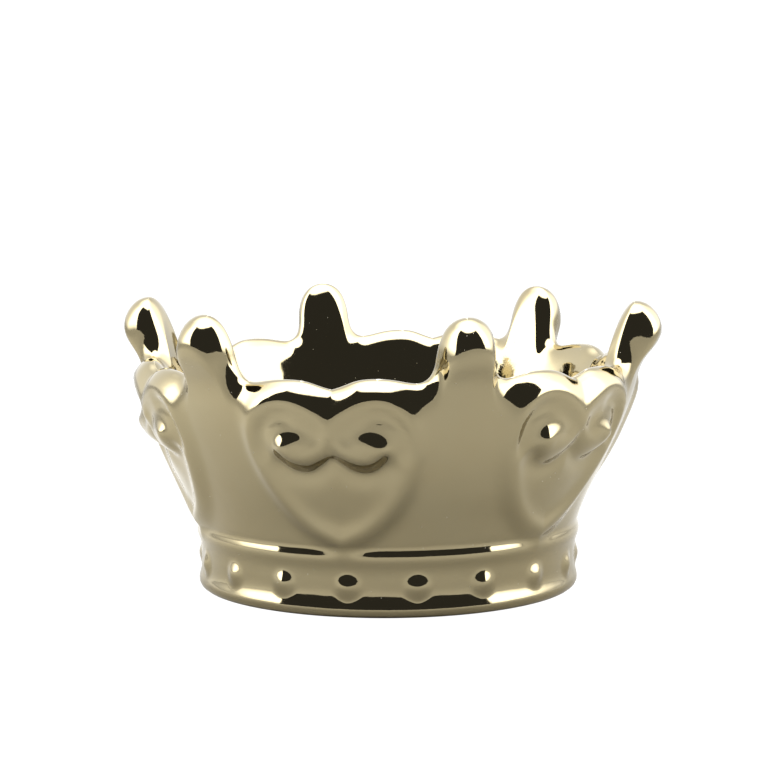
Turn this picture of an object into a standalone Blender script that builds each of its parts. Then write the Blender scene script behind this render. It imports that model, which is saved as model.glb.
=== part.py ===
"""A cast ceramic crown, made as a footed bowl for candles or trinkets.

The flared wall rises from a beaded base band to a rim of six hearts, with a round-tipped finger between
each two hearts.  It is one slip-cast piece, so it is one closed body.

The wall is a thick sheet.  A rim line, drawn on the unrolled wall, says where the sheet ends; columns run
up the wall and fan out to that line, and the sheet's two faces close on it in a rounded lip.  The hearts,
their scrolls and the beads are raised from the outer face.  One sixth repeats around the axis.
"""

import math

import bmesh
import bpy
import numpy as np

MM = 0.001

# Overall sizes, in millimetres.
SECTORS = 6                      # hearts, and fingers between them
HEIGHT = 75.2                    # to the tips of the fingers
RIM_RADIUS = 64.5                # radius at which the rim line is unrolled
SECTOR_DEG = 360.0 / SECTORS
FLOOR_Z = 6.0                    # inside floor of the bowl
WALL_FOOT_Z = 17.6               # where the flared wall meets the ridge

# Half of the rim line, from a heart's cleft to a finger's tip: degrees from the heart, height.
RIM_LINE = ((0.0, 58.2), (2.2, 58.9), (5.5, 60.1), (9.8, 60.6), (14.5, 60.2), (18.2, 59.5), (20.6, 59.6),
            (22.3, 60.9), (23.3, 63.4), (23.7, 66.6), (24.4, 70.0), (25.6, 72.7), (27.3, 74.4),
            (30.0, HEIGHT))

# Turned profiles: height, radius.
OUTER_WALL = ((WALL_FOOT_Z, 50.3), (22.9, 52.2), (31.1, 56.1), (39.4, 60.1), (47.6, 63.5), (56.5, 66.0),
              (HEIGHT, 67.6))
FLOOR_FILLET = 11.0              # between the inside floor and the inside wall
INNER_WALL = ((FLOOR_Z + FLOOR_FILLET, 44.2), (25.0, 47.6), (38.0, 53.0), (48.0, 56.0), (58.3, 58.1),
              (HEIGHT, 62.7))
BASE = ((16.6, 50.5), (15.4, 50.75), (14.2, 50.6), (13.1, 50.2), (12.0, 49.9), (9.0, 49.6), (6.0, 49.55),
        (4.2, 49.8), (2.4, 50.25), (1.2, 50.2), (0.35, 49.6), (0.0, 48.6))
WAIST_RADIUS = 49.4              # of the base band at its narrowest
FOOT_INNER = 42.5                # inside edge of the foot ring
FOOT_BEVEL = 1.5                 # from that edge in to the hollow
RECESS_Z = 1.4                   # depth of the hollow inside the foot ring

# The lip, where the two faces of the sheet close.
CREST_RADIUS = 62.0              # of the crest at CREST_Z
CREST_Z = 59.5
CREST_LEAN = 0.22                # outward for each millimetre of height
LIP_HEART = 10.5                 # length of the columns over which the outer face rounds over, on a heart
LIP_FINGER = 9.6                 # and on a finger
LIP_TURN_DEG = (17.0, 25.0)      # from the one to the other
LIP_INSIDE = 6.5
LIP_FULLNESS = 2.2               # 2 rounds the lip over as an ellipse, more makes it squarer

# The columns that run up the wall and fan out to the rim line.
HEART_END_DEG = 19.5             # where the heart's share of the rim line ends and the finger's begins
HEART_SHARE = 0.62               # of the columns, ending on the heart
STRAIGHT_RUN = 4.2               # over which a column meets the rim line squarely
UPRIGHT_SHARE = 0.72             # of the height, over which a column leans little
HEADING_STEP = 0.2               # along the rim line, to find which way it heads

# The finger's outer side, which stands out in a knob: height, radius.
FINGER_FACE = ((50.0, 64.3), (56.5, 66.0), (59.4, 67.2), (61.8, 68.9), (64.0, 70.6), (66.5, 71.9),
               (69.0, 72.5), (71.5, 72.7), (HEIGHT, 72.8))
FINGER_FROM_Z = (52.0, 57.0)
KNOB_HALF_DEG = 5.6
KNOB_FADE_DEG = 4.5

# The heart, on the unrolled wall: millimetres from its centre line, height.
HEART_EDGE = ((0.0, 15.2), (3.6, 17.2), (7.4, 19.8), (11.4, 23.0), (15.3, 27.2), (18.8, 32.5), (21.4, 38.5),
              (23.0, 45.0), (23.5, 50.0), (23.3, 54.5), (22.0, 60.0), (16.0, 66.0), (0.0, 70.0))
BORDER_LINE = ((0.0, 19.6), (5.8, 22.2), (11.0, 26.6), (15.2, 32.4), (18.4, 39.0), (20.0, 45.5), (19.6, 50.5),
               (17.0, 54.3), (13.0, 56.2), (8.8, 56.0), (5.0, 54.2), (2.0, 51.8), (0.0, 49.6))
SCROLL_LINE = ((0.0, 46.5), (2.8, 43.4), (6.0, 41.3), (9.6, 41.2), (12.0, 43.6))
OUTER_GROOVE = ((16.2, 38.5), (17.6, 42.0), (18.0, 46.0), (17.0, 49.6), (14.4, 51.6), (11.0, 51.9),
                (7.6, 50.6))
LOWER_GROOVE = ((0.0, 41.0), (1.8, 39.9), (4.2, 38.2), (7.2, 37.3), (10.4, 38.1), (13.0, 40.8), (14.0, 43.6))
BALL_PLACE = (9.2, 44.2)
BALL_SPREAD = (5.6, 4.4)         # sideways and upwards
HEART_RISE = 0.6                 # of the whole heart above the wall
EDGE_STEP = (-1.4, 3.4)          # from outside the heart's edge to inside it, over which it rises
BORDER_RISE = 1.5
BORDER_HALF_WIDTH = 2.9
SCROLL_RISE = 1.2
SCROLL_HALF_WIDTH = 2.6
BALL_RISE = 2.2
GROOVE_DEPTH = 1.1
GROOVE_HALF_WIDTH = 1.35
GROOVE_FADE = 0.25                # share of a groove's length that fades at each end
HUMP_SHARPNESS = 1.4             # how soon a hump falls away from its crest

# Beads round the base band.
BEADS_PER_SECTOR = 3
BEAD_Z = 7.2
BEAD_RADIUS = 4.2
BEAD_RISE = 1.05

# Fineness of the surface before it is thinned, for one half of a sector.
COLUMNS = 26
BASE_ROWS = 25
WALL_ROWS = 46
LIP_ROWS = 6
INSIDE_ROWS = 12
FILLET_ROWS = 4
THIN_TO = 9000                   # triangles in the finished body
CURVE_STEPS = 160
PATH_STEPS = 60

LUSTRE_GLAZE = (0.48, 0.43, 0.31, 1.0)


def spline(knots, values, x):
    """Natural cubic spline through the knots, read at x."""
    knots = np.asarray(knots, float)
    values = np.asarray(values, float)
    gap = np.diff(knots)
    slope = np.diff(values) / gap
    size = len(knots)
    system = np.eye(size)
    right = np.zeros(size)
    for i in range(1, size - 1):
        system[i, i - 1:i + 2] = gap[i - 1], 2.0 * (gap[i - 1] + gap[i]), gap[i]
        right[i] = 6.0 * (slope[i] - slope[i - 1])
    bend = np.linalg.solve(system, right)
    i = np.clip(np.searchsorted(knots, x) - 1, 0, size - 2)
    t = x - knots[i]
    u = knots[i + 1] - x
    curved = (bend[i] * u ** 3 + bend[i + 1] * t ** 3) / (6.0 * gap[i])
    from_left = (values[i] / gap[i] - bend[i] * gap[i] / 6.0) * u
    from_right = (values[i + 1] / gap[i] - bend[i + 1] * gap[i] / 6.0) * t
    return curved + from_left + from_right


def curve(points, count=CURVE_STEPS):
    """A smooth line through the points, as count evenly spaced positions."""
    points = np.asarray(points, float)
    along = length_along(points)
    at = np.linspace(0.0, along[-1], count)
    return np.stack([spline(along, points[:, 0], at), spline(along, points[:, 1], at)], axis=1)


def smoothstep(x, low, high):
    t = np.clip((x - low) / (high - low), 0.0, 1.0)
    return t * t * (3.0 - 2.0 * t)


def distance_to(line, x, z):
    """Distance from each place to the nearest point of the line, and how far along the line that is."""
    gap = np.hypot(x[..., None] - line[:, 0], z[..., None] - line[:, 1])
    nearest = gap.argmin(axis=-1)
    return gap.min(axis=-1), nearest / (len(line) - 1.0)


def hump(distance, half_width):
    return np.exp(-(distance / half_width) ** 2 * HUMP_SHARPNESS)


def profile(table, z):
    heights, radii = zip(*table)
    return spline(heights, radii, z)


def groove(line, x, z):
    """Depth of a groove that fades out towards its two ends."""
    away, along = distance_to(curve(line), x, z)
    fade = smoothstep(along, 0.0, GROOVE_FADE) * smoothstep(1.0 - along, 0.0, GROOVE_FADE)
    return GROOVE_DEPTH * hump(away, GROOVE_HALF_WIDTH) * fade


def heart_relief(x, z):
    """Height of the heart's carving at x millimetres from its centre line."""
    edge = curve(HEART_EDGE)
    away, _ = distance_to(edge, x, z)
    half_width = np.interp(z, *heart_half_width(edge))
    inside = np.where(x < half_width, away, -away)
    rise = HEART_RISE * smoothstep(inside, *EDGE_STEP)
    border, _ = distance_to(curve(BORDER_LINE), x, z)
    rise = rise + BORDER_RISE * hump(border, BORDER_HALF_WIDTH)
    scroll, _ = distance_to(curve(SCROLL_LINE), x, z)
    rise = rise + SCROLL_RISE * hump(scroll, SCROLL_HALF_WIDTH)
    ball = np.hypot((x - BALL_PLACE[0]) / BALL_SPREAD[0], (z - BALL_PLACE[1]) / BALL_SPREAD[1])
    rise = rise + BALL_RISE * hump(ball, 1.0)
    return rise - np.maximum(groove(OUTER_GROOVE, x, z), groove(LOWER_GROOVE, x, z))


def heart_half_width(edge):
    """The heart's half width against height, up to its widest place and on to its top."""
    order = np.argsort(edge[:, 1])
    return edge[order, 1], edge[order, 0]


def rim_line():
    """The rim line of half a sector in millimetres, from a cleft to a finger's tip."""
    ahead = [(SECTOR_DEG - degrees, height) for degrees, height in RIM_LINE[-2::-1]]
    whole = [(math.radians(degrees) * RIM_RADIUS, height) for degrees, height in (*RIM_LINE, *ahead)]
    line = curve(whole, 2 * CURVE_STEPS + 1)
    return line[:CURVE_STEPS + 1]


def length_along(line):
    """Distance from the line's start to each of its points."""
    return np.concatenate([[0.0], np.cumsum(np.hypot(*np.diff(line, axis=0).T))])


def at_length(line, length):
    """The points at these lengths along the line."""
    along = length_along(line)
    return np.stack([np.interp(length, along, line[:, 0]), np.interp(length, along, line[:, 1])], axis=1)


def columns(rim):
    """Each column as a smooth path up the unrolled wall that meets the rim line squarely."""
    along = length_along(rim)
    heart_end = along[np.argmin(np.abs(rim[:, 0] - math.radians(HEART_END_DEG) * RIM_RADIUS))]
    share = np.linspace(0.0, 1.0, COLUMNS + 1)
    length = np.interp(share, [0.0, HEART_SHARE, 1.0], [0.0, heart_end, along[-1]])
    top = at_length(rim, length)
    heading = at_length(rim, length + HEADING_STEP) - at_length(rim, length - HEADING_STEP)
    heading /= np.linalg.norm(heading, axis=1)[:, None]
    inward = np.stack([heading[:, 1], -heading[:, 0]], axis=1)
    inward[0] = 0.0, -1.0
    inward[-1] = 0.0, -1.0
    around = share * math.radians(SECTOR_DEG / 2.0) * RIM_RADIUS
    foot = np.stack([around, np.full(COLUMNS + 1, WALL_FOOT_Z)], axis=1)
    lower = np.stack([around, WALL_FOOT_Z + (top[:, 1] - WALL_FOOT_Z) * UPRIGHT_SHARE], axis=1)
    upper = top + inward * STRAIGHT_RUN
    t = np.linspace(0.0, 1.0, PATH_STEPS)[:, None, None]
    return foot * (1 - t) ** 3 + 3 * lower * t * (1 - t) ** 2 + 3 * upper * t ** 2 * (1 - t) + top * t ** 3


def rows_below_rim(paths, lip, lip_rows, rows):
    """Each row's places and depths: close together in the lip, then evenly down to the foot of the wall."""
    turn = np.linspace(0.0, math.pi / 2.0, lip_rows + 1)
    places = []
    depths = []
    for k in range(paths.shape[1]):
        path = paths[::-1, k]
        in_lip = lip[k] * (1.0 - np.cos(turn))
        below = np.linspace(lip[k], length_along(path)[-1], rows - lip_rows + 1)[1:]
        depths.append(np.concatenate([in_lip, below]))
        places.append(at_length(path, depths[-1]))
    return np.stack(places, axis=1), np.stack(depths, axis=1)


def closing(depth, lip):
    """How far the sheet's face has swung out from the crest, at a depth inside the rim line."""
    t = np.clip(depth / lip, 0.0, 1.0)
    return np.sqrt(1.0 - (1.0 - t) ** LIP_FULLNESS)


def crest(z):
    return CREST_RADIUS + CREST_LEAN * (z - CREST_Z)


def outer_radius(angle, z, depth, lip):
    """Radius of the outer face; angle is in radians from the heart's centre line."""
    plain = profile(OUTER_WALL, z)
    away = math.radians(SECTOR_DEG / 2.0) - angle
    on_finger = 1.0 - smoothstep(np.degrees(away), KNOB_HALF_DEG, KNOB_HALF_DEG + KNOB_FADE_DEG)
    on_finger = on_finger * smoothstep(z, *FINGER_FROM_Z)
    knob = profile(FINGER_FACE, np.maximum(z, FINGER_FACE[0][0])) - plain
    full = plain + knob * on_finger + heart_relief(angle * plain, z)
    return crest(z) + (full - crest(z)) * closing(depth, lip)


def inner_radius(z, depth):
    full = profile(INNER_WALL, z)
    return crest(z) - (crest(z) - full) * closing(depth, LIP_INSIDE)


def bead_rise(angle, z):
    """How far the beads stand out from the base band."""
    step = math.radians(SECTOR_DEG / BEADS_PER_SECTOR)
    around = (np.abs(angle) + step / 2.0) % step - step / 2.0
    away = np.hypot(around * WAIST_RADIUS, z - BEAD_Z)
    return BEAD_RISE * (1.0 - smoothstep(away, 0.0, BEAD_RADIUS))


def base_rings(share):
    """The hollow's edge, the foot ring and the base band, from the middle out and up."""
    def flat(radius, height):
        return share, np.full_like(share, radius), np.full_like(share, height)
    rings = [flat(FOOT_INNER - FOOT_BEVEL, RECESS_Z), flat(FOOT_INNER, 0.0)]
    line = curve([(r, z) for z, r in BASE[::-1]], BASE_ROWS + 1)
    for radius, height in line:
        z = np.full_like(share, max(height, 0.0))
        rings.append((share, radius + bead_rise(share, z), z))
    return rings


def wall_rings():
    """Up the outer face to the rim line, over the lip and down the inner face."""
    paths = columns(rim_line())
    top_deg = np.degrees(paths[-1, :, 0] / RIM_RADIUS)
    lip = LIP_HEART + (LIP_FINGER - LIP_HEART) * smoothstep(top_deg, *LIP_TURN_DEG)
    rings = []
    places, depths = rows_below_rim(paths, lip, LIP_ROWS, WALL_ROWS)
    for (x, z), depth in zip(places[::-1].transpose(0, 2, 1), depths[::-1]):
        rings.append((x / RIM_RADIUS, outer_radius(x / RIM_RADIUS, z, depth, lip), z))
    places, depths = rows_below_rim(paths, np.full_like(lip, LIP_INSIDE), LIP_ROWS, INSIDE_ROWS + LIP_ROWS)
    for (x, z), depth in zip(places[1:].transpose(0, 2, 1), depths[1:]):
        rings.append((x / RIM_RADIUS, inner_radius(z, depth), z))
    return rings


def fillet_rings(share):
    """From the foot of the inner face down to the floor of the bowl."""
    top_z = FLOOR_Z + FLOOR_FILLET
    top_radius = profile(INNER_WALL, top_z)
    rings = []
    for turn in np.linspace(0.0, math.pi / 2.0, FILLET_ROWS + 1)[1:]:
        radius = top_radius - FLOOR_FILLET * (1.0 - math.cos(turn))
        height = top_z - FLOOR_FILLET * math.sin(turn)
        rings.append((share, np.full_like(share, radius), np.full_like(share, height)))
    return rings


def half_sector():
    """Rings of (angle, radius, height) for half a sector, from the underside out and round to the floor."""
    share = np.linspace(0.0, math.radians(SECTOR_DEG / 2.0), COLUMNS + 1)
    return base_rings(share) + wall_rings() + fillet_rings(share)


def crown_mesh():
    """The whole crown, as rings of points joined by faces and closed at both centres."""
    rings = half_sector()
    mesh = bmesh.new()
    loops = []
    for angle, radius, height in rings:
        around = np.concatenate([-angle[:0:-1], angle[:-1]])
        out = np.concatenate([radius[:0:-1], radius[:-1]])
        up = np.concatenate([height[:0:-1], height[:-1]])
        loop = []
        for sector in range(SECTORS):
            turn = math.radians(SECTOR_DEG) * sector
            for a, r, z in zip(around + turn, out, up):
                loop.append(mesh.verts.new((r * math.sin(a) * MM, -r * math.cos(a) * MM, z * MM)))
        loops.append(loop)
    for lower, upper in zip(loops, loops[1:]):
        for k in range(len(lower)):
            n = (k + 1) % len(lower)
            mesh.faces.new((lower[k], lower[n], upper[n], upper[k]))
    for loop, height in ((loops[0], RECESS_Z), (loops[-1], FLOOR_Z)):
        centre = mesh.verts.new((0.0, 0.0, height * MM))
        for k in range(len(loop)):
            mesh.faces.new((centre, loop[k], loop[(k + 1) % len(loop)]))
    bmesh.ops.recalc_face_normals(mesh, faces=mesh.faces)
    data = bpy.data.meshes.new("crown")
    mesh.to_mesh(data)
    mesh.free()
    return data


def lustre_glaze():
    """Warm silver lustre over a glossy glaze."""
    glaze = bpy.data.materials.new("lustre_glaze")
    glaze.use_nodes = True
    shader = glaze.node_tree.nodes["Principled BSDF"]
    shader.inputs["Base Color"].default_value = LUSTRE_GLAZE
    shader.inputs["Metallic"].default_value = 1.0
    shader.inputs["Roughness"].default_value = 0.12
    return glaze


def main():
    for obj in list(bpy.data.objects):
        bpy.data.objects.remove(obj)
    parts = bpy.data.collections.new("Ceramic crown")
    bpy.context.scene.collection.children.link(parts)
    crown = bpy.data.objects.new("crown", crown_mesh())
    parts.objects.link(crown)
    crown.data.materials.append(lustre_glaze())
    thin = crown.modifiers.new("Thin", "DECIMATE")
    thin.ratio = THIN_TO / sum(len(face.vertices) - 2 for face in crown.data.polygons)
    thin.use_collapse_triangulate = True


main()
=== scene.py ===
"""A lustre-glazed ceramic crown, made as a small footed bowl.

One sixth of the body, a heart between two half fingers, is laid out as rings of points.  A node tree repeats
it round the axis, and a last pass gives each finger and heart its own slight shift and turns the beaded band
a little against the hearts, as on a piece cast in a hand-made mould.
"""

import math

import bpy
import numpy as np
from bpy.props import FloatProperty, FloatVectorProperty, IntProperty, PointerProperty, StringProperty
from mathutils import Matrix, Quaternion, Vector


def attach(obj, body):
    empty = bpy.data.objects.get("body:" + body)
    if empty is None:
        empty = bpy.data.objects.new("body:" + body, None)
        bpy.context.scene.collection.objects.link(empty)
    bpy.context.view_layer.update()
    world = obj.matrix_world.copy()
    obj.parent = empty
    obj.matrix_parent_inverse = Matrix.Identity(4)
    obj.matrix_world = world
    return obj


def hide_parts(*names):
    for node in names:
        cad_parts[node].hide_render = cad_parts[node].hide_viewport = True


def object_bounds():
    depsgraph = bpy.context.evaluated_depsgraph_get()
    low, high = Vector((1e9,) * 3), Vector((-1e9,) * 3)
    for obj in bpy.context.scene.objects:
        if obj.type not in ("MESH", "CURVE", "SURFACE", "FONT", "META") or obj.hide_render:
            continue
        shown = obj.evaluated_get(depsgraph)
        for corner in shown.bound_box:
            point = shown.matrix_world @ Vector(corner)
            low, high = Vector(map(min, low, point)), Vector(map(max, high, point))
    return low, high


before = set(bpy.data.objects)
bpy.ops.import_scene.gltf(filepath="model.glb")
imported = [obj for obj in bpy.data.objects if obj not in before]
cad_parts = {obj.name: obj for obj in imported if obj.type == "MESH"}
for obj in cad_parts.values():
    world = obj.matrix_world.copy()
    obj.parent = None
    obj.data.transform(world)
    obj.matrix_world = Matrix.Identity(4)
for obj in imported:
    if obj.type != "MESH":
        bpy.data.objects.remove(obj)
CAD_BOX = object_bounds()

bl_info = {
    "name": "Lustre Crown Bowl",
    "version": (1, 0, 0),
    "blender": (4, 5, 0),
    "location": "3D View > Sidebar > Crown",
    "description": "Builds a ceramic crown bowl with hearts, fingers and beads, and a plain stage for it",
    "category": "Object",
}

MM = 0.001
CROWN_HEIGHT = CAD_BOX[1].z - CAD_BOX[0].z
TOP_MM = round(CROWN_HEIGHT / MM, 2)

# The layout round the axis.
SECTORS = 6
SECTOR_DEG = 360.0 / SECTORS
HALF_SECTOR = math.radians(SECTOR_DEG / 2.0)

# Heights in millimetres.
FLOOR_Z = 6.0
WALL_FOOT_Z = 17.6
RECESS_Z = 1.4

# Half of the rim line, from a heart's cleft to a finger's tip: degrees from the heart, height.
RIM_RADIUS = 64.5
RIM_LINE = ((0.0, 58.2), (2.2, 58.9), (5.5, 60.1), (9.8, 60.6), (14.5, 60.2), (18.2, 59.5), (20.6, 59.6),
            (22.3, 60.9), (23.3, 63.4), (23.7, 66.6), (24.4, 70.0), (25.6, 72.7), (27.3, 74.4), (30.0, TOP_MM))

# Turned profiles: height, radius.
FLOOR_FILLET = 11.0
OUTER_WALL = ((WALL_FOOT_Z, 50.3), (22.9, 52.2), (31.1, 56.1), (39.4, 60.1), (47.6, 63.5), (56.5, 66.0),
              (TOP_MM, 67.6))
INNER_WALL = ((FLOOR_Z + FLOOR_FILLET, 44.2), (25.0, 47.6), (38.0, 53.0), (48.0, 56.0), (58.3, 58.1),
              (TOP_MM, 62.7))
BASE = ((16.6, 50.5), (15.4, 50.75), (14.2, 50.6), (13.1, 50.2), (12.0, 49.9), (9.0, 49.6), (6.0, 49.55),
        (4.2, 49.8), (2.4, 50.25), (1.2, 50.2), (0.35, 49.6), (0.0, 48.6))
WAIST_RADIUS = 49.4
FOOT_INNER = 42.5
FOOT_BEVEL = 1.5

# The lip, where the outer and the inner face close on the rim line.
CREST_RADIUS = 62.0
CREST_Z = 59.5
CREST_LEAN = 0.22
LIP_HEART = 10.5
LIP_FINGER = 9.6
LIP_TURN_DEG = (17.0, 25.0)
LIP_INSIDE = 6.5
LIP_FULLNESS = (2.4, 2.1)         # outside on a heart, and everywhere else

# The columns of points that run up the wall and fan out to the rim line.
HEART_END_DEG = 19.5
HEART_SHARE = 0.62
STRAIGHT_RUN = 4.2
UPRIGHT_SHARE = 0.72
HEADING_STEP = 0.2

# The finger's outer side, which stands out in a knob: height, radius.
FINGER_FACE = ((50.0, 64.3), (56.5, 66.0), (59.4, 67.2), (61.8, 68.9), (64.0, 70.6), (66.5, 71.9), (69.0, 72.5),
               (71.5, 72.7), (TOP_MM, 72.8))
FINGER_FROM_Z = (52.0, 57.0)
KNOB_HALF_DEG = 5.6
KNOB_FADE_DEG = 4.5

# The heart, on the unrolled wall: millimetres from its centre line, height.
HEART_EDGE = ((0.0, 15.2), (3.6, 17.2), (7.4, 19.8), (11.4, 23.0), (15.3, 27.2), (18.8, 32.5), (21.4, 38.5),
              (23.0, 45.0), (23.5, 50.0), (23.3, 54.5), (22.0, 60.0), (16.0, 66.0), (0.0, 70.0))
BORDER_LINE = ((0.0, 19.6), (5.8, 22.2), (11.0, 26.6), (15.2, 32.4), (18.4, 39.0), (20.0, 45.5), (19.6, 50.5),
               (17.0, 54.3), (13.0, 56.2), (8.8, 56.0), (5.0, 54.2), (2.0, 51.8), (0.0, 49.6))
SCROLL_LINE = ((0.0, 46.5), (2.8, 43.4), (6.0, 41.3), (9.6, 41.2), (12.0, 43.6))
OUTER_GROOVE = ((16.2, 38.5), (17.6, 42.0), (18.0, 46.0), (17.0, 49.6), (14.4, 51.6), (11.0, 51.9),
                (7.6, 50.6))
LOWER_GROOVE = ((0.0, 41.0), (1.8, 39.9), (4.2, 38.2), (7.2, 37.3), (10.4, 38.1), (13.0, 40.8), (14.0, 43.6))
BALL_PLACE = (9.2, 44.2)
EDGE_STEP = (-2.0, 4.2)
TIP_FADE_Z = (11.5, 15.0)
BORDER_HALF_WIDTH = 3.3
SCROLL_HALF_WIDTH = 2.6
BALL_SPREAD = (6.3, 4.3)
OUTER_GROOVE_WIDTH = (2.0, 2.0)    # from its line to either side: above, below
LOWER_GROOVE_WIDTH = (1.3, 3.6)
GROOVE_FADE = 0.25
HUMP_SHARPNESS = 1.4

# How the hand-made mould strays from its pattern near the rim: degrees round the axis, then millimetres
# to the right, outwards and up.
HAND_SHIFTS = ((-150.0, -0.9, 0.0, 0.2), (-130.0, 0.0, 0.0, 0.0), (-110.0, 0.0, 0.0, 0.1), (-90.0, 0.0, 0.4, 0.0),
               (-70.0, 0.2, 0.0, 0.0), (-50.0, 0.3, 0.0, -0.5), (-30.0, -0.3, 0.0, 0.0), (-10.0, 0.0, 0.0, -0.4),
               (10.0, -0.4, 0.0, 0.1), (30.0, -0.7, 0.0, 0.2), (50.0, -0.3, 0.0, 0.8), (70.0, 0.0, 0.0, 0.0),
               (90.0, 0.0, 0.3, 0.4), (110.0, 0.3, 0.0, 0.0), (130.0, 0.7, 0.0, -0.1), (150.0, 1.2, -0.6, 0.1),
               (170.0, 0.5, 0.0, 1.1), (190.0, -0.3, 0.0, 1.2))
SHIFT_FROM_Z = (28.0, 60.0)
BAND_TURN_DEG = 0.8               # how far the base band is turned against the hearts
BAND_TOP_Z = (11.0, 16.0)

# A speck in the lustre, from its core to its edge, as a share of the 2.2 mm cell it sits in.
SPECK_SIZE = (0.03, 0.06)

# Rows of points: half a sector is FINE columns wide outside and FINE / 2 inside.
FINE = 60
BASE_ROWS = 24
WALL_ROWS = 76
LIP_ROWS = 9
INSIDE_ROWS = 26
FILLET_ROWS = 7
FLOOR_RADII = (24.0, 13.0, 5.0)
CURVE_STEPS = 160
PATH_STEPS = 60
MERGE_MM = 0.004


# ---------------------------------------------------------------- curves and steps

def spline(knots, values, x):
    """Natural cubic spline through the knots, read at x."""
    knots = np.asarray(knots, float)
    values = np.asarray(values, float)
    gap = np.diff(knots)
    slope = np.diff(values) / gap
    size = len(knots)
    system = np.eye(size)
    right = np.zeros(size)
    for i in range(1, size - 1):
        system[i, i - 1:i + 2] = gap[i - 1], 2.0 * (gap[i - 1] + gap[i]), gap[i]
        right[i] = 6.0 * (slope[i] - slope[i - 1])
    bend = np.linalg.solve(system, right)
    i = np.clip(np.searchsorted(knots, x) - 1, 0, size - 2)
    t = x - knots[i]
    u = knots[i + 1] - x
    curved = (bend[i] * u ** 3 + bend[i + 1] * t ** 3) / (6.0 * gap[i])
    from_left = (values[i] / gap[i] - bend[i] * gap[i] / 6.0) * u
    from_right = (values[i + 1] / gap[i] - bend[i + 1] * gap[i] / 6.0) * t
    return curved + from_left + from_right


def length_along(line):
    """Distance from the line's start to each of its points."""
    return np.concatenate([[0.0], np.cumsum(np.hypot(*np.diff(line, axis=0).T))])


def at_length(line, length):
    """The points at these lengths along the line."""
    along = length_along(line)
    return np.stack([np.interp(length, along, line[:, 0]), np.interp(length, along, line[:, 1])], axis=1)


def curve(points, count=CURVE_STEPS):
    """A smooth line through the points, as count evenly spaced positions."""
    points = np.asarray(points, float)
    along = length_along(points)
    at = np.linspace(0.0, along[-1], count)
    return np.stack([spline(along, points[:, 0], at), spline(along, points[:, 1], at)], axis=1)


def smoothstep(x, low, high):
    t = np.clip((x - low) / (high - low), 0.0, 1.0)
    return t * t * (3.0 - 2.0 * t)


def distance_to(line, x, z):
    """Distance from each place to the line, and the share of its length where it comes nearest."""
    start = line[:-1]
    step = np.diff(line, axis=0)
    span = (step ** 2).sum(axis=1)
    to_x = x[..., None] - start[:, 0]
    to_z = z[..., None] - start[:, 1]
    t = np.clip((to_x * step[:, 0] + to_z * step[:, 1]) / span, 0.0, 1.0)
    gap = np.hypot(to_x - t * step[:, 0], to_z - t * step[:, 1])
    nearest = gap.argmin(axis=-1)
    along = (nearest + np.take_along_axis(t, nearest[..., None], -1)[..., 0]) / len(step)
    return gap.min(axis=-1), along


def hump(distance, half_width):
    return np.exp(-(distance / half_width) ** 2 * HUMP_SHARPNESS)


def profile(table, z):
    heights, radii = zip(*table)
    return spline(heights, radii, z)


# ---------------------------------------------------------------- the outer face

def groove(line, x, z, depth, widths, fades_in=True):
    """Depth of a groove that fades out towards its ends, and may be wider below its line than above."""
    line = curve(line)
    away, along = distance_to(line, x, z)
    below = z < np.interp(x, line[:, 0], line[:, 1])
    fade = smoothstep(1.0 - along, 0.0, GROOVE_FADE)
    if fades_in:
        fade = fade * smoothstep(along, 0.0, GROOVE_FADE)
    return depth * hump(away, np.where(below, widths[1], widths[0])) * fade


def heart_relief(x, z, carving):
    """Height of the heart's carving at x millimetres from its centre line."""
    edge = curve(HEART_EDGE)
    away, _ = distance_to(edge, x, z)
    half_width = np.interp(z, edge[:, 1], edge[:, 0])
    inside = np.where(x < half_width, away, -away)
    rise = carving.field_rise * smoothstep(inside, *EDGE_STEP)
    border, _ = distance_to(curve(BORDER_LINE), x, z)
    rise = rise + carving.border_rise * hump(border, BORDER_HALF_WIDTH)
    scroll, _ = distance_to(curve(SCROLL_LINE), x, z)
    rise = rise + carving.scroll_rise * hump(scroll, SCROLL_HALF_WIDTH)
    ball = np.hypot((x - BALL_PLACE[0]) / BALL_SPREAD[0], (z - BALL_PLACE[1]) / BALL_SPREAD[1])
    rise = rise + carving.ball_rise * hump(ball, 1.0)
    outer = groove(OUTER_GROOVE, x, z, carving.groove_depth, OUTER_GROOVE_WIDTH)
    lower = groove(LOWER_GROOVE, x, z, carving.groove_depth, LOWER_GROOVE_WIDTH, fades_in=False)
    return rise - np.maximum(outer, lower)


def closing(depth, lip, fullness=LIP_FULLNESS[1]):
    """How far the sheet's face has swung out from the crest, at a depth inside the rim line."""
    t = np.clip(depth / lip, 0.0, 1.0)
    return np.sqrt(1.0 - (1.0 - t) ** fullness)


def crest(z):
    return CREST_RADIUS + CREST_LEAN * (z - CREST_Z)


def outer_radius(angle, z, depth, lip, carving):
    """Radius of the outer face; angle is in radians from the heart's centre line."""
    plain = profile(OUTER_WALL, z)
    away = np.degrees(HALF_SECTOR - angle)
    on_finger = 1.0 - smoothstep(away, KNOB_HALF_DEG, KNOB_HALF_DEG + KNOB_FADE_DEG)
    on_finger = on_finger * smoothstep(z, *FINGER_FROM_Z)
    full = plain + (profile(FINGER_FACE, np.maximum(z, FINGER_FACE[0][0])) - plain) * on_finger
    full = full + heart_relief(angle * plain, z, carving)
    fullness = LIP_FULLNESS[0] + (LIP_FULLNESS[1] - LIP_FULLNESS[0]) * on_finger
    return crest(z) + (full - crest(z)) * closing(depth, lip, fullness)


def inner_radius(z, depth):
    full = profile(INNER_WALL, z)
    return crest(z) - (crest(z) - full) * closing(depth, LIP_INSIDE)


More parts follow.
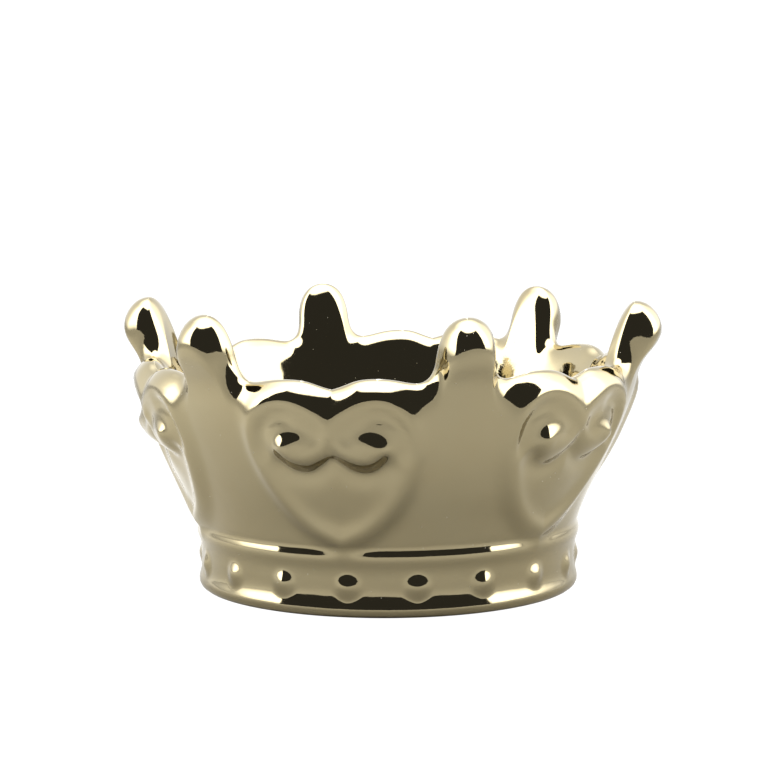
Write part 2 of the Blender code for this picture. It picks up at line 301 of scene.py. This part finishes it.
def bead_rise(angle, z, band):
    """How far the beads stand out from the base band."""
    step = math.radians(SECTOR_DEG / band.beads_per_heart)
    around = (np.abs(angle) + step / 2.0) % step - step / 2.0
    away = np.hypot(around * WAIST_RADIUS, z - band.bead_height / MM)
    return band.bead_rise / MM * (1.0 - smoothstep(away, 0.0, band.bead_radius / MM))


# ---------------------------------------------------------------- half a sector, as rings of points

def rim_line():
    """The rim line of half a sector in millimetres, from a cleft to a finger's tip."""
    ahead = [(SECTOR_DEG - degrees, height) for degrees, height in RIM_LINE[-2::-1]]
    whole = [(math.radians(degrees) * RIM_RADIUS, height) for degrees, height in (*RIM_LINE, *ahead)]
    return curve(whole, 2 * CURVE_STEPS + 1)[:CURVE_STEPS + 1]


def columns(rim):
    """Each column as a smooth path up the unrolled wall that meets the rim line squarely."""
    along = length_along(rim)
    heart_end = along[np.argmin(np.abs(rim[:, 0] - math.radians(HEART_END_DEG) * RIM_RADIUS))]
    share = np.linspace(0.0, 1.0, FINE + 1)
    length = np.interp(share, [0.0, HEART_SHARE, 1.0], [0.0, heart_end, along[-1]])
    top = at_length(rim, length)
    heading = at_length(rim, length + HEADING_STEP) - at_length(rim, length - HEADING_STEP)
    heading /= np.linalg.norm(heading, axis=1)[:, None]
    inward = np.stack([heading[:, 1], -heading[:, 0]], axis=1)
    inward[0] = 0.0, -1.0
    inward[-1] = 0.0, -1.0
    around = share * HALF_SECTOR * RIM_RADIUS
    foot = np.stack([around, np.full(FINE + 1, WALL_FOOT_Z)], axis=1)
    lower = np.stack([around, WALL_FOOT_Z + (top[:, 1] - WALL_FOOT_Z) * UPRIGHT_SHARE], axis=1)
    upper = top + inward * STRAIGHT_RUN
    t = np.linspace(0.0, 1.0, PATH_STEPS)[:, None, None]
    return foot * (1 - t) ** 3 + 3 * lower * t * (1 - t) ** 2 + 3 * upper * t ** 2 * (1 - t) + top * t ** 3


def rows_below_rim(paths, lip, rows):
    """Each row's places and depths: close together in the lip, then evenly down to the foot of the wall."""
    turn = np.linspace(0.0, math.pi / 2.0, LIP_ROWS + 1)
    places = []
    depths = []
    for k in range(paths.shape[1]):
        path = paths[::-1, k]
        in_lip = lip[k] * (1.0 - np.cos(turn))
        below = np.linspace(lip[k], length_along(path)[-1], rows + 1)[1:]
        depths.append(np.concatenate([in_lip, below]))
        places.append(at_length(path, depths[-1]))
    return np.stack(places, axis=1), np.stack(depths, axis=1)


def level_ring(share, radius, height):
    return share, np.full_like(share, radius), np.full_like(share, height)


def under_rings(share):
    """The hollow under the crown and the flat foot ring, from the middle out."""
    rings = [level_ring(share, radius, RECESS_Z) for radius in (8.0, 20.0, 32.0)]
    rings.append(level_ring(share, FOOT_INNER - FOOT_BEVEL - 0.6, RECESS_Z))
    rings.append(level_ring(share, FOOT_INNER - FOOT_BEVEL, RECESS_Z - 0.15))
    rings.append(level_ring(share, FOOT_INNER - 0.4, 0.2))
    rings.append(level_ring(share, FOOT_INNER, 0.0))
    return rings


def base_rings(share, carving, band):
    """The foot's outer edge and the beaded band, upwards to where the hearts' tips run out on the ridge."""
    rings = []
    for radius, height in curve([(r, z) for z, r in BASE[::-1]], BASE_ROWS + 1):
        z = np.full_like(share, max(height, 0.0))
        tip = heart_relief(share * radius, z, carving) * smoothstep(z, *TIP_FADE_Z)
        rings.append((share, radius + bead_rise(share, z, band) + tip, z))
    return rings


def wall_rings(carving):
    """Up the outer face to the rim line, over the lip and down the inner face."""
    rim = rim_line()
    paths = columns(rim)
    top_deg = np.degrees(paths[-1, :, 0] / RIM_RADIUS)
    lip = LIP_HEART + (LIP_FINGER - LIP_HEART) * smoothstep(top_deg, *LIP_TURN_DEG)
    rings = []
    places, depths = rows_below_rim(paths, lip, WALL_ROWS - LIP_ROWS)
    for (x, z), depth in zip(places[::-1].transpose(0, 2, 1), depths[::-1]):
        rings.append((x / RIM_RADIUS, outer_radius(x / RIM_RADIUS, z, depth, lip, carving), z))
    places, depths = rows_below_rim(paths, np.full_like(lip, LIP_INSIDE), INSIDE_ROWS)
    for row, ((x, z), depth) in enumerate(zip(places[1:].transpose(0, 2, 1), depths[1:])):
        step = 1 if row < LIP_ROWS else 2
        x, z, depth = x[::step], z[::step], depth[::step]
        rings.append((x / RIM_RADIUS, inner_radius(z, depth), z))
    return rings


def bowl_rings(share):
    """From the foot of the inner face down the fillet and in over the floor of the bowl."""
    top_z = FLOOR_Z + FLOOR_FILLET
    top_radius = profile(INNER_WALL, top_z)
    rings = []
    for turn in np.linspace(0.0, math.pi / 2.0, FILLET_ROWS + 1)[1:]:
        radius = top_radius - FLOOR_FILLET * (1.0 - math.cos(turn))
        rings.append(level_ring(share, radius, top_z - FLOOR_FILLET * math.sin(turn)))
    rings += [level_ring(share, radius, FLOOR_Z) for radius in FLOOR_RADII]
    return rings


def sector_mesh(carving, band):
    """One sector, from half a finger over a heart to the next half finger, open only at its two sides."""
    fine = np.linspace(0.0, HALF_SECTOR, FINE + 1)
    coarse = fine[::2]
    rings = under_rings(coarse) + base_rings(fine, carving, band) + wall_rings(carving) + bowl_rings(coarse)
    points = []
    rows = []
    for angle, radius, height in rings:
        around = np.concatenate([-angle[:0:-1], angle])
        out = np.concatenate([radius[:0:-1], radius])
        up = np.concatenate([height[:0:-1], height])
        rows.append(np.arange(len(around)) + sum(len(row) for row in rows))
        points.append(np.stack([out * np.sin(around), -out * np.cos(around), up], axis=1))
    faces = []
    for low, high in zip(rows, rows[1:]):
        faces += joined(low, high)
    middle = sum(len(row) for row in rows)
    for row, height in ((rows[0], RECESS_Z), (rows[-1], FLOOR_Z)):
        points.append(np.array([[0.0, 0.0, height]]))
        pairs = zip(row, row[1:])
        faces += [(middle, b, a) if row is rows[0] else (middle, a, b) for a, b in pairs]
        middle += 1
    data = bpy.data.meshes.new("crown sector")
    data.from_pydata((np.concatenate(points) * MM).tolist(), [], faces)
    return data


def joined(low, high):
    """Faces between two rows, where one may have half as many steps as the other."""
    if len(low) == len(high):
        return list(zip(low, low[1:], high[1:], high))
    if len(low) < len(high):
        return [face[::-1] for face in joined(high, low)]
    faces = []
    for k in range(len(high) - 1):
        a, b, c = low[2 * k:2 * k + 3]
        faces += [(a, b, high[k]), (b, high[k + 1], high[k]), (b, c, high[k + 1])]
    return faces


# ---------------------------------------------------------------- node trees

def add_node(tree, kind, settings=None, **links):
    """Adds a node; settings are its own values, links fill its inputs with values or other nodes' outputs."""
    node = tree.nodes.new(kind)
    for name, value in (settings or {}).items():
        setattr(node, name, value)
    for name, value in links.items():
        key = int(name[1:]) if name[0] == "_" else name.replace("_", " ")
        if isinstance(value, bpy.types.NodeSocket):
            tree.links.new(value, node.inputs[key])
        else:
            node.inputs[key].default_value = value
    return node


def repeat_tree():
    """Repeats a sector round the Z axis and joins the copies into one closed body."""
    tree = bpy.data.node_groups.new("Repeat round axis", "GeometryNodeTree")
    sockets = (("Sector", "NodeSocketGeometry"), ("Count", "NodeSocketInt"), ("Merge distance", "NodeSocketFloat"),
               ("Glaze", "NodeSocketMaterial"), ("Bare clay", "NodeSocketMaterial"))
    for name, kind in sockets:
        tree.interface.new_socket(name=name, in_out="INPUT", socket_type=kind)
    tree.interface.new_socket(name="Crown", in_out="OUTPUT", socket_type="NodeSocketGeometry")
    given = tree.nodes.new("NodeGroupInput").outputs
    points = add_node(tree, "GeometryNodePoints", Count=given["Count"])
    index = add_node(tree, "GeometryNodeInputIndex")
    share = add_node(tree, "ShaderNodeMath", {"operation": "DIVIDE"}, _0=index.outputs[0], _1=given["Count"])
    turn = add_node(tree, "ShaderNodeMath", {"operation": "MULTIPLY"}, _0=share.outputs[0], _1=math.tau)
    euler = add_node(tree, "ShaderNodeCombineXYZ", Z=turn.outputs[0])
    copies = add_node(tree, "GeometryNodeInstanceOnPoints", Points=points.outputs[0], Instance=given["Sector"],
                      Rotation=euler.outputs[0])
    real = add_node(tree, "GeometryNodeRealizeInstances", Geometry=copies.outputs[0])
    whole = add_node(tree, "GeometryNodeMergeByDistance", Geometry=real.outputs[0],
                     Distance=given["Merge distance"])
    glazed = add_node(tree, "GeometryNodeSetMaterial", Geometry=whole.outputs[0], Material=given["Glaze"])
    place = add_node(tree, "ShaderNodeSeparateXYZ", _0=add_node(tree, "GeometryNodeInputPosition").outputs[0])
    low = add_node(tree, "ShaderNodeMath", {"operation": "LESS_THAN"}, _0=place.outputs["Z"], _1=0.1 * MM)
    done = add_node(tree, "GeometryNodeSetMaterial", Geometry=glazed.outputs[0], Selection=low.outputs[0],
                    Material=given["Bare clay"])
    add_node(tree, "NodeGroupOutput", Crown=done.outputs[0])
    return tree


def hand_shift(mesh):
    """Moves each heart and finger by its own small amount, fading out down the wall."""
    flat = np.empty(len(mesh.vertices) * 3)
    mesh.vertices.foreach_get("co", flat)
    x, y, z = (flat.reshape(-1, 3) / MM).T
    angle = np.degrees(np.arctan2(x, -y))
    angle = np.where(angle < HAND_SHIFTS[0][0], angle + 360.0, angle)
    whole_turn = np.array((360.0, 0.0, 0.0, 0.0))
    table = np.array(HAND_SHIFTS)
    table = np.concatenate([table[-4:] - whole_turn, table, table[:4] + whole_turn]).T
    aside, outwards, up = (spline(table[0], column, angle) for column in table[1:])
    share = smoothstep(z, *SHIFT_FROM_Z)
    radius = np.hypot(x, y)
    band = 1.0 - smoothstep(z, *BAND_TOP_Z)
    turned = np.radians(angle + BAND_TURN_DEG * band) + aside * share / RIM_RADIUS
    radius = radius + outwards * share * (radius > FOOT_INNER)
    moved = np.stack([radius * np.sin(turned), -radius * np.cos(turned), z + up * share], axis=1)
    mesh.vertices.foreach_set("co", (moved * MM).ravel())
    mesh.update()


def evaluated_mesh(obj, tree, values):
    """The plain mesh that the tree makes of obj, with its inputs set by their identifiers."""
    modifier = obj.modifiers.new(tree.name, "NODES")
    modifier.node_group = tree
    for item in tree.interface.items_tree:
        if item.in_out == "INPUT" and item.name in values:
            modifier[item.identifier] = values[item.name]
    depsgraph = bpy.context.evaluated_depsgraph_get()
    mesh = bpy.data.meshes.new_from_object(obj.evaluated_get(depsgraph), depsgraph=depsgraph)
    obj.modifiers.remove(modifier)
    return mesh


# ---------------------------------------------------------------- finishes

def linear(hex_code, alpha=1.0):
    """An sRGB hex colour as linear values."""
    parts = [int(hex_code[i:i + 2], 16) / 255.0 for i in (0, 2, 4)]
    return (*[p / 12.92 if p <= 0.04045 else ((p + 0.055) / 1.055) ** 2.4 for p in parts], alpha)


def principled(material, **links):
    """The material's tree and its Principled shader, with these inputs filled."""
    material.use_nodes = True
    tree = material.node_tree
    shader = tree.nodes["Principled BSDF"]
    for name, value in links.items():
        shader.inputs[name.replace("_", " ")].default_value = value
    return tree, shader


def silver_lustre_over_glaze(finish):
    """Platinum lustre fired on a glossy glaze: a mirror with a warm cast, softened by the glaze's skin."""
    material = bpy.data.materials.new("silver_lustre_over_glaze")
    tree, shader = principled(material)
    place = add_node(tree, "ShaderNodeTexCoord").outputs["Object"]
    # The lustre's thickness drifts, so its warm cast does too.
    drift = add_node(tree, "ShaderNodeTexNoise", Vector=place, Scale=1.0 / (22.0 * MM), Detail=3.0, Roughness=0.55)
    colour = add_node(tree, "ShaderNodeMix", {"data_type": "RGBA"}, Factor=drift.outputs[0])
    colour.inputs[6].default_value = linear(finish.lustre)
    colour.inputs[7].default_value = linear(finish.lustre_warm)
    # Haze: patches where the firing left the mirror a little duller.
    haze = add_node(tree, "ShaderNodeTexNoise", Vector=place, Scale=1.0 / (6.0 * MM), Detail=4.0, Roughness=0.6)
    gloss = add_node(tree, "ShaderNodeMapRange", Value=haze.outputs[0], From_Min=0.3, From_Max=0.75,
                     To_Min=finish.gloss_low, To_Max=finish.gloss_high)
    # Specks: pinholes and settled dust, dull and pale, a few on each side.
    cells = add_node(tree, "ShaderNodeTexVoronoi", Vector=place, Scale=1.0 / (2.2 * MM))
    near = add_node(tree, "ShaderNodeMapRange", Value=cells.outputs["Distance"], From_Min=SPECK_SIZE[0],
                    From_Max=SPECK_SIZE[1], To_Min=1.0, To_Max=0.0)
    chosen = add_node(tree, "ShaderNodeMath", {"operation": "GREATER_THAN"}, _0=cells.outputs["Color"], _1=0.5)
    speck = add_node(tree, "ShaderNodeMath", {"operation": "MULTIPLY"}, _0=near.outputs[0], _1=chosen.outputs[0])
    dusty = add_node(tree, "ShaderNodeMix", {"data_type": "RGBA"}, Factor=speck.outputs[0])
    tree.links.new(colour.outputs[2], dusty.inputs[6])
    dusty.inputs[7].default_value = linear(finish.dust)
    tree.links.new(dusty.outputs[2], shader.inputs["Base Color"])
    metal = add_node(tree, "ShaderNodeMapRange", Value=speck.outputs[0], To_Min=1.0, To_Max=0.0)
    tree.links.new(metal.outputs[0], shader.inputs["Metallic"])
    dull = add_node(tree, "ShaderNodeMix", {"data_type": "FLOAT"}, Factor=speck.outputs[0])
    tree.links.new(gloss.outputs[0], dull.inputs[2])
    dull.inputs[3].default_value = 0.6
    tree.links.new(dull.outputs[0], shader.inputs["Roughness"])
    # The glaze's skin: a fine orange peel over slow waves, which rags the edges of what is mirrored.
    peel = add_node(tree, "ShaderNodeTexNoise", Vector=place, Scale=1.0 / (1.6 * MM), Detail=2.0, Roughness=0.5)
    fine = add_node(tree, "ShaderNodeBump", Height=peel.outputs[0], Strength=1.0, Distance=0.008 * MM)
    waves = add_node(tree, "ShaderNodeTexNoise", Vector=place, Scale=1.0 / (7.0 * MM), Detail=1.0, Roughness=0.4)
    slow = add_node(tree, "ShaderNodeBump", Height=waves.outputs[0], Strength=1.0, Distance=0.09 * MM,
                    Normal=fine.outputs[0])
    tree.links.new(slow.outputs[0], shader.inputs["Normal"])
    return material


def bare_fired_clay(finish):
    """White earthenware left unglazed where it stands: matt, chalky and slightly stained."""
    material = bpy.data.materials.new("bare_fired_clay")
    tree, shader = principled(material, Roughness=0.85)
    place = add_node(tree, "ShaderNodeTexCoord").outputs["Object"]
    stain = add_node(tree, "ShaderNodeTexNoise", Vector=place, Scale=1.0 / (5.0 * MM), Detail=5.0, Roughness=0.6)
    colour = add_node(tree, "ShaderNodeMix", {"data_type": "RGBA"}, Factor=stain.outputs[0])
    colour.inputs[6].default_value = linear(finish.clay)
    colour.inputs[7].default_value = linear(finish.clay_stained)
    tree.links.new(colour.outputs[2], shader.inputs["Base Color"])
    grit = add_node(tree, "ShaderNodeTexNoise", Vector=place, Scale=1.0 / (0.6 * MM), Detail=3.0)
    bump = add_node(tree, "ShaderNodeBump", Height=grit.outputs[0], Strength=0.4, Distance=0.05 * MM)
    tree.links.new(bump.outputs[0], shader.inputs["Normal"])
    return material


def stage_paper(stage):
    """Matt paper sweep: pale and even, washed out to white where it is seen directly."""
    material = bpy.data.materials.new("stage_paper")
    tree, paper = principled(material, Base_Color=linear(stage.floor_colour), Roughness=0.9)
    path = add_node(tree, "ShaderNodeLightPath").outputs["Is Camera Ray"]
    glow = add_node(tree, "ShaderNodeEmission", Color=(1.0, 1.0, 1.0, 1.0), Strength=BACKDROP_LIGHT)
    share = add_node(tree, "ShaderNodeMath", {"operation": "MULTIPLY"}, _0=path, _1=FLOOR_GLOW)
    mixed = add_node(tree, "ShaderNodeMixShader", _0=share.outputs[0], _1=paper.outputs[0], _2=glow.outputs[0])
    tree.links.new(mixed.outputs[0], tree.nodes["Material Output"].inputs["Surface"])
    return material


def soft_light(stage):
    """A light tent: white cloth round and over the crown, open and dark where the camera looks in."""
    world = bpy.data.worlds.new("Light tent")
    world.use_nodes = True
    tree = world.node_tree
    tree.nodes.clear()

    def math_node(operation, a, b=0.0):
        return add_node(tree, "ShaderNodeMath", {"operation": operation}, _0=a, _1=b).outputs[0]

    def step(value, low, high, bottom, top):
        return add_node(tree, "ShaderNodeMapRange", {"interpolation_type": "SMOOTHSTEP"}, Value=value,
                        From_Min=low, From_Max=high, To_Min=bottom, To_Max=top).outputs[0]

    way = add_node(tree, "ShaderNodeTexCoord").outputs["Generated"]
    turned = add_node(tree, "ShaderNodeVectorRotate", {"rotation_type": "Z_AXIS"}, Vector=way,
                      Angle=-stage.camera_azimuth)
    part = add_node(tree, "ShaderNodeSeparateXYZ", Vector=turned.outputs[0]).outputs
    azimuth = math_node("ARCTAN2", part["X"], math_node("MULTIPLY", part["Y"], -1.0))
    rise = math_node("ARCSINE", part["Z"])
    from_mouth = math_node("ABSOLUTE", math_node("SUBTRACT", azimuth, math.radians(TENT_MOUTH_TURN_DEG)))
    half = math.radians(TENT_MOUTH_HALF_DEG)
    edge = math.radians(TENT_EDGE_DEG)
    beside = step(from_mouth, half - edge, half + edge, 0.0, 1.0)
    top = math.radians(TENT_MOUTH_TOP_DEG)
    above = step(rise, top - 3.0 * edge, top + 3.0 * edge, 0.0, 1.0)
    in_tent = math_node("MAXIMUM", beside, above)
    turn = step(azimuth, -math.pi, math.pi, 0.0, 1.0)
    tree.nodes[-1].interpolation_type = "LINEAR"
    round_tent = add_node(tree, "ShaderNodeFloatCurve", Value=turn)
    points = round_tent.mapping.curves[0].points
    for degrees, light in WALL_LIGHT:
        share = degrees / 360.0 + 0.5
        point = points[0] if degrees == -180.0 else points[1] if degrees == 180.0 else points.new(share, light)
        point.location = share, light / FULL_LIGHT
    round_tent.mapping.update()
    wall = math_node("MULTIPLY", round_tent.outputs[0], FULL_LIGHT)
    low = add_node(tree, "ShaderNodeMix", {"data_type": "FLOAT"},
                   Factor=step(rise, *[math.radians(degrees) for degrees in WALL_RAMP_DEG], 0.0, 1.0))
    low.inputs[2].default_value = HORIZON_LIGHT
    tree.links.new(wall, low.inputs[3])
    cloth = add_node(tree, "ShaderNodeMix", {"data_type": "FLOAT"},
                     Factor=step(rise, math.radians(40.0), math.radians(70.0), 0.0, 1.0))
    tree.links.new(low.outputs[0], cloth.inputs[2])
    cloth.inputs[3].default_value = FULL_LIGHT
    lit = add_node(tree, "ShaderNodeMix", {"data_type": "FLOAT"}, Factor=in_tent)
    lit.inputs[2].default_value = MOUTH_LIGHT
    tree.links.new(cloth.outputs[0], lit.inputs[3])
    path = add_node(tree, "ShaderNodeLightPath").outputs
    dimmed = add_node(tree, "ShaderNodeMapRange", Value=path["Is Diffuse Ray"], To_Min=1.0, To_Max=DIFFUSE_SHARE)
    level = math_node("MULTIPLY", lit.outputs[0], dimmed.outputs[0])
    strength = add_node(tree, "ShaderNodeMix", {"data_type": "FLOAT"}, Factor=path["Is Camera Ray"])
    tree.links.new(level, strength.inputs[2])
    strength.inputs[3].default_value = BACKDROP_LIGHT
    light = add_node(tree, "ShaderNodeBackground", Color=(1.0, 1.0, 1.0, 1.0), Strength=strength.outputs[0])
    add_node(tree, "ShaderNodeOutputWorld", Surface=light.outputs[0])
    return world


def side_fill(stage, sideways):
    """A soft lamp that brightens the floor on one side of the crown and is not seen in the lustre."""
    lamp = bpy.data.lights.new("side fill", "AREA")
    lamp.size = FILL_SIZE
    lamp.energy = FILL_POWER[0 if sideways < 0.0 else 1]
    holder = bpy.data.objects.new("side fill", lamp)
    turn = stage.camera_azimuth
    back = FILL_PLACE[1]
    holder.location = (math.cos(turn) * sideways * FILL_PLACE[0] - math.sin(turn) * back,
                       math.sin(turn) * sideways * FILL_PLACE[0] + math.cos(turn) * back, FILL_PLACE[2])
    holder.visible_glossy = False
    holder.visible_camera = False
    bpy.context.scene.collection.objects.link(holder)
    return holder


# The light tent, in degrees from the way the camera looks, and its cloth's brightness.
TENT_MOUTH_TURN_DEG = -2.5
TENT_MOUTH_HALF_DEG = 65.5
TENT_MOUTH_TOP_DEG = 61.0
TENT_EDGE_DEG = 0.8
FULL_LIGHT = 5.6
WALL_LIGHT = ((-180.0, 1.5), (-150.0, 1.5), (-130.0, 1.7), (-112.0, 2.2), (-96.0, 4.6), (-88.0, 5.6), (-60.0, 5.6),
              (60.0, 5.6), (90.0, 5.6), (108.0, 4.2), (138.0, 2.6), (155.0, 1.5), (180.0, 1.5))
WALL_RAMP_DEG = (-3.0, 9.0)
HORIZON_LIGHT = 0.8
DIFFUSE_SHARE = 0.34
MOUTH_LIGHT = 0.06
BACKDROP_LIGHT = 1.15
FILL_SIZE = 0.25
FILL_POWER = (0.7, 0.4)
FILL_PLACE = (0.19, 0.03, 0.2)    # to the side, behind the axis, and height, in metres
FLOOR_GLOW = 0.9                  # how much of the floor, as the camera sees it, is plain white


# ---------------------------------------------------------------- settings

class CrownCarving(bpy.types.PropertyGroup):
    """Heights of the carving, in millimetres above the turned wall."""
    field_rise: FloatProperty(name="Heart", description="Rise of the whole heart, in mm", default=0.6, min=0.0)
    border_rise: FloatProperty(name="Border", description="Rise of the heart's border, in mm", default=1.3, min=0.0)
    scroll_rise: FloatProperty(name="Scroll", description="Rise of the scrolls, in mm", default=1.2, min=0.0)
    ball_rise: FloatProperty(name="Ball", description="Rise of the scrolls' ends, in mm", default=2.2, min=0.0)
    groove_depth: FloatProperty(name="Groove", description="Depth of the grooves, in mm", default=0.95, min=0.0)


class CrownBand(bpy.types.PropertyGroup):
    """The beaded base band."""
    beads_per_heart: IntProperty(name="Beads to a heart", description="Beads in each sixth", default=3, min=1)
    bead_height: FloatProperty(name="Height", description="Of a bead's middle", default=7.6 * MM, unit="LENGTH")
    bead_radius: FloatProperty(name="Radius", description="Of a bead", default=4.2 * MM, unit="LENGTH")
    bead_rise: FloatProperty(name="Rise", description="Of a bead over the band", default=1.05 * MM, unit="LENGTH")


class CrownFinish(bpy.types.PropertyGroup):
    """Colours and gloss, as sRGB hex values and roughness."""
    lustre: StringProperty(name="Lustre", description="Main colour of the lustre", default="A0977B")
    lustre_warm: StringProperty(name="Warm lustre", description="Where the lustre is thinner", default="9E9273")
    gloss_low: FloatProperty(name="Gloss", description="Roughness where glossiest", default=0.035, min=0.0)
    gloss_high: FloatProperty(name="Haze", description="Roughness where haziest", default=0.075, min=0.0)
    dust: StringProperty(name="Dust", description="Specks on the lustre", default="B9B3A4")
    clay: StringProperty(name="Clay", description="Bare fired clay", default="DDD3C2")
    clay_stained: StringProperty(name="Stained clay", description="Clay stained by handling", default="C3B59E")


class CrownStage(bpy.types.PropertyGroup):
    """Where the camera stands, and the floor."""
    camera_azimuth: FloatProperty(name="Azimuth", description="Camera's turn round the crown",
                                  default=math.radians(12.4), subtype="ANGLE")
    camera_elevation: FloatProperty(name="Elevation", description="Camera's angle above the horizon",
                                    default=math.radians(8.9), subtype="ANGLE")
    camera_distance: FloatProperty(name="Distance", description="From the crown's middle", default=0.6,
                                   unit="LENGTH")
    lens: FloatProperty(name="Lens", description="Focal length, in mm on a 36 mm sensor", default=105.4)
    floor_colour: StringProperty(name="Floor", description="Paper colour", default="BDBCB9")


# ---------------------------------------------------------------- operators

class CROWN_OT_build(bpy.types.Operator):
    """Build the crown's one ceramic body"""
    bl_idname = "crown.build"
    bl_label = "Crown"

    def execute(self, context):
        scene = context.scene
        maker = bpy.data.objects.new("sector", sector_mesh(scene.crown_carving, scene.crown_band))
        scene.collection.objects.link(maker)
        values = {"Count": SECTORS, "Merge distance": MERGE_MM * MM,
                  "Glaze": silver_lustre_over_glaze(scene.crown_finish),
                  "Bare clay": bare_fired_clay(scene.crown_finish)}
        body = evaluated_mesh(maker, repeat_tree(), values)
        bpy.data.objects.remove(maker)
        hand_shift(body)
        body.shade_smooth()
        crown = bpy.data.objects.new("ceramic_crown", body)
        scene.collection.objects.link(crown)
        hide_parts("crown")
        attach(crown, "root")
        return {"FINISHED"}


CAMERA_CENTRE_Z = 25.0           # the height from which the camera's angle is taken
CAMERA_AIM_MM = (0.9, 52.7)      # sideways from the axis, and height
CAMERA_ROLL_DEG = -0.26


class CROWN_OT_stage(bpy.types.Operator):
    """Lay the floor, hang the light tent and set the camera"""
    bl_idname = "crown.stage"
    bl_label = "Stage"

    def execute(self, context):
        scene = context.scene
        stage = scene.crown_stage
        bpy.ops.mesh.primitive_circle_add(vertices=96, radius=3.0, fill_type="NGON")
        floor = context.object
        floor.name = "floor"
        floor.data.materials.append(stage_paper(stage))
        scene.world = soft_light(stage)
        for sideways in (-1.0, 1.0):
            side_fill(stage, sideways)
        scene.view_settings.view_transform = "Standard"
        turn = stage.camera_azimuth
        flat = math.cos(stage.camera_elevation) * stage.camera_distance
        height = CAMERA_CENTRE_Z * MM + math.sin(stage.camera_elevation) * stage.camera_distance
        eye = Vector((flat * math.sin(turn), -flat * math.cos(turn), height))
        aside = Vector((math.cos(turn), math.sin(turn), 0.0)) * CAMERA_AIM_MM[0] * MM
        aim = -aside + Vector((0.0, 0.0, CAMERA_AIM_MM[1] * MM))
        camera = bpy.data.objects.new("camera", bpy.data.cameras.new("camera"))
        scene.collection.objects.link(camera)
        camera.location = eye
        upright = (aim - eye).to_track_quat("-Z", "Y")
        camera.rotation_euler = (upright @ Quaternion((0.0, 0.0, 1.0), math.radians(CAMERA_ROLL_DEG))).to_euler()
        camera.data.sensor_width = 36.0
        camera.data.lens = stage.lens
        camera.data.clip_start = 0.01
        scene.camera = camera
        return {"FINISHED"}


class CROWN_PT_panel(bpy.types.Panel):
    """Settings and builders"""
    bl_idname = "CROWN_PT_panel"
    bl_label = "Crown"
    bl_space_type = "VIEW_3D"
    bl_region_type = "UI"
    bl_category = "Crown"

    def draw(self, context):
        for name in SETTINGS:
            box = self.layout.box()
            group = getattr(context.scene, name)
            for key in group.__annotations__:
                box.prop(group, key)
        for operator in OPERATORS:
            self.layout.operator(operator.bl_idname)


SETTINGS = {"crown_carving": CrownCarving, "crown_band": CrownBand, "crown_finish": CrownFinish,
            "crown_stage": CrownStage}
OPERATORS = (CROWN_OT_build, CROWN_OT_stage)


def register():
    for kind in (*SETTINGS.values(), *OPERATORS, CROWN_PT_panel):
        bpy.utils.register_class(kind)
    for name, kind in SETTINGS.items():
        setattr(bpy.types.Scene, name, PointerProperty(type=kind))


def unregister():
    for name in SETTINGS:
        delattr(bpy.types.Scene, name)
    for kind in (CROWN_PT_panel, *OPERATORS[::-1], *list(SETTINGS.values())[::-1]):
        bpy.utils.unregister_class(kind)


def main():
    register()
    bpy.ops.crown.build()
    bpy.ops.crown.stage()


if __name__ == "__main__":
    main()
